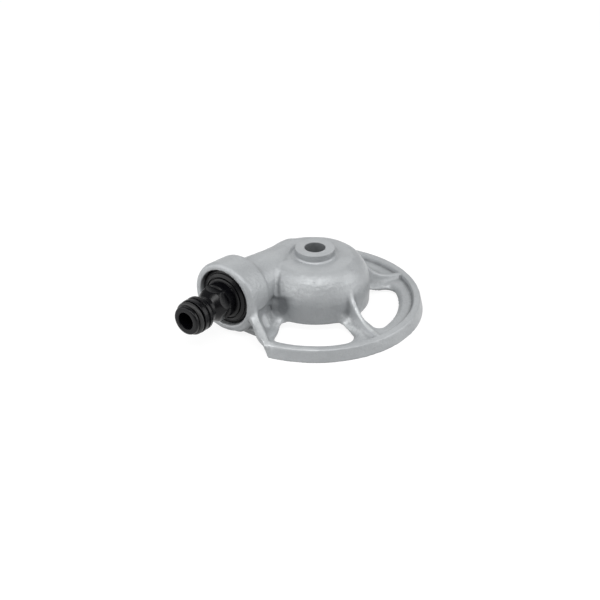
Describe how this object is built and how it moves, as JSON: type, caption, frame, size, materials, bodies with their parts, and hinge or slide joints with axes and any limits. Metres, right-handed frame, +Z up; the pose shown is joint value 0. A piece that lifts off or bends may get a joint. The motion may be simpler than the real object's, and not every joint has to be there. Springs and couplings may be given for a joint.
{
  "type": "stationary sprinkler",
  "caption": "Low lawn sprinkler: cast ring base with windows and ribs round a domed swirl chamber, nozzle on top, click-on hose adaptor screwed into a side collar.",
  "frame": {"origin": "on the ground plane below the middle of the bounding box", "axes": "+Z up along the nozzle, -X out of the hose adaptor, +Y to the side on which the inlet horn runs"},
  "size_m": [0.13, 0.11, 0.037],
  "materials": {
    "casting_grey": "satin, fine cast texture",
    "plated_steel": "plated, satin",
    "black_plastic": "gloss, moulded",
    "black_rubber": "matt, moulded"
  },
  "bodies": {
    "casting": {"sprinkler_casting": "casting_grey", "bottom_cover": "plated_steel", "cover_gasket": "black_rubber"},
    "seal": {"inlet_washer": "black_rubber"},
    "adaptor": {"hose_adaptor": "black_plastic", "nose_o_ring": "black_rubber"}
  },
  "joints": [
    {"name": "adaptor_travel", "type": "slide", "parent": "casting", "child": "seal", "axis": [-1, 0, 0], "range_m": [0, 0.0091]},
    {"name": "adaptor_unscrew", "type": "hinge", "parent": "seal", "child": "adaptor", "pos_m": [-0.03755, 0.0202, 0.0189], "axis": [-1, 0, 0], "range_deg": [0, 1800]}
  ],
  "couplings": [
    {"joint": "adaptor_travel", "follows": "adaptor_unscrew", "m_per_rad": 0.0002887}
  ]
}
